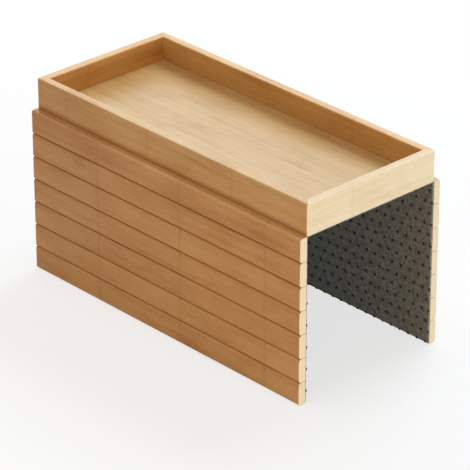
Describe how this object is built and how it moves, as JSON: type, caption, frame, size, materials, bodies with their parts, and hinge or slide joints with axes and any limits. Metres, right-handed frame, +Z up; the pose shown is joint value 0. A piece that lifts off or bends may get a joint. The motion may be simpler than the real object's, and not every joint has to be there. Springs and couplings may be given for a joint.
{
  "type": "sofa arm tray",
  "caption": "Shallow rectangular bamboo tray with a tambour slat flap along each long side, on felt, that hang over a sofa's arm.",
  "frame": {"origin": "centre of the felt's lower face under the tray, where the tray rests on the sofa's arm", "axes": "+X along the tray's length, -Y to the front flap, +Z up, out of the open side of the tray"},
  "size_m": [0.41, 0.198, 0.2238],
  "materials": {
    "bamboo": "satin lacquered bamboo",
    "felt": "dark grey felt",
    "grip_dots": "black rubber dots on the felt"
  },
  "bodies": {
    "tray": {"front_long_wall": "bamboo", "back_long_wall": "bamboo", "left_end_wall": "bamboo", "right_end_wall": "bamboo", "tray_floor": "bamboo", "tray_felt": "felt"},
    "front_row_1": {"front_slat_1": "bamboo", "front_felt_1": "felt"},
    "front_row_2": {"front_slat_2": "bamboo", "front_felt_2": "felt"},
    "front_row_3": {"front_slat_3": "bamboo", "front_felt_3": "felt"},
    "front_row_4": {"front_slat_4": "bamboo", "front_felt_4": "felt"},
    "front_row_5": {"front_slat_5": "bamboo", "front_felt_5": "felt"},
    "front_row_6": {"front_slat_6": "bamboo", "front_felt_6": "felt"},
    "front_row_7": {"front_slat_7": "bamboo", "front_felt_7": "felt"},
    "back_row_1": {"back_slat_1": "bamboo", "back_felt_1": "felt"},
    "back_row_2": {"back_slat_2": "bamboo", "back_felt_2": "felt"},
    "back_row_3": {"back_slat_3": "bamboo", "back_felt_3": "felt"},
    "back_row_4": {"back_slat_4": "bamboo", "back_felt_4": "felt"},
    "back_row_5": {"back_slat_5": "bamboo", "back_felt_5": "felt"},
    "back_row_6": {"back_slat_6": "bamboo", "back_felt_6": "felt"},
    "back_row_7": {"back_slat_7": "bamboo", "back_felt_7": "felt"}
  },
  "joints": [
    {"name": "front_fold_1", "type": "hinge", "parent": "tray", "child": "front_row_1", "pos_m": [0, -0.09, 0.0015], "axis": [1, 0, 0], "range_deg": [-90, 20]},
    {"name": "front_fold_2", "type": "hinge", "parent": "front_row_1", "child": "front_row_2", "pos_m": [0, -0.09, -0.0255], "axis": [1, 0, 0], "range_deg": [0, 22], "stiffness_Nm_per_rad": 0.2},
    {"name": "front_fold_3", "type": "hinge", "parent": "front_row_2", "child": "front_row_3", "pos_m": [0, -0.09, -0.0525], "axis": [1, 0, 0], "range_deg": [0, 22], "stiffness_Nm_per_rad": 0.2},
    {"name": "front_fold_4", "type": "hinge", "parent": "front_row_3", "child": "front_row_4", "pos_m": [0, -0.09, -0.0795], "axis": [1, 0, 0], "range_deg": [0, 22], "stiffness_Nm_per_rad": 0.2},
    {"name": "front_fold_5", "type": "hinge", "parent": "front_row_4", "child": "front_row_5", "pos_m": [0, -0.09, -0.1065], "axis": [1, 0, 0], "range_deg": [0, 22], "stiffness_Nm_per_rad": 0.2},
    {"name": "front_fold_6", "type": "hinge", "parent": "front_row_5", "child": "front_row_6", "pos_m": [0, -0.09, -0.1335], "axis": [1, 0, 0], "range_deg": [0, 22], "stiffness_Nm_per_rad": 0.2},
    {"name": "front_fold_7", "type": "hinge", "parent": "front_row_6", "child": "front_row_7", "pos_m": [0, -0.09, -0.1605], "axis": [1, 0, 0], "range_deg": [0, 22], "stiffness_Nm_per_rad": 0.2},
    {"name": "back_fold_1", "type": "hinge", "parent": "tray", "child": "back_row_1", "pos_m": [0, 0.09, 0.0015], "axis": [1, 0, 0], "range_deg": [-20, 90]},
    {"name": "back_fold_2", "type": "hinge", "parent": "back_row_1", "child": "back_row_2", "pos_m": [0, 0.09, -0.0255], "axis": [1, 0, 0], "range_deg": [-22, 0], "stiffness_Nm_per_rad": 0.2},
    {"name": "back_fold_3", "type": "hinge", "parent": "back_row_2", "child": "back_row_3", "pos_m": [0, 0.09, -0.0525], "axis": [1, 0, 0], "range_deg": [-22, 0], "stiffness_Nm_per_rad": 0.2},
    {"name": "back_fold_4", "type": "hinge", "parent": "back_row_3", "child": "back_row_4", "pos_m": [0, 0.09, -0.0795], "axis": [1, 0, 0], "range_deg": [-22, 0], "stiffness_Nm_per_rad": 0.2},
    {"name": "back_fold_5", "type": "hinge", "parent": "back_row_4", "child": "back_row_5", "pos_m": [0, 0.09, -0.1065], "axis": [1, 0, 0], "range_deg": [-22, 0], "stiffness_Nm_per_rad": 0.2},
    {"name": "back_fold_6", "type": "hinge", "parent": "back_row_5", "child": "back_row_6", "pos_m": [0, 0.09, -0.1335], "axis": [1, 0, 0], "range_deg": [-22, 0], "stiffness_Nm_per_rad": 0.2},
    {"name": "back_fold_7", "type": "hinge", "parent": "back_row_6", "child": "back_row_7", "pos_m": [0, 0.09, -0.1605], "axis": [1, 0, 0], "range_deg": [-22, 0], "stiffness_Nm_per_rad": 0.2}
  ]
}
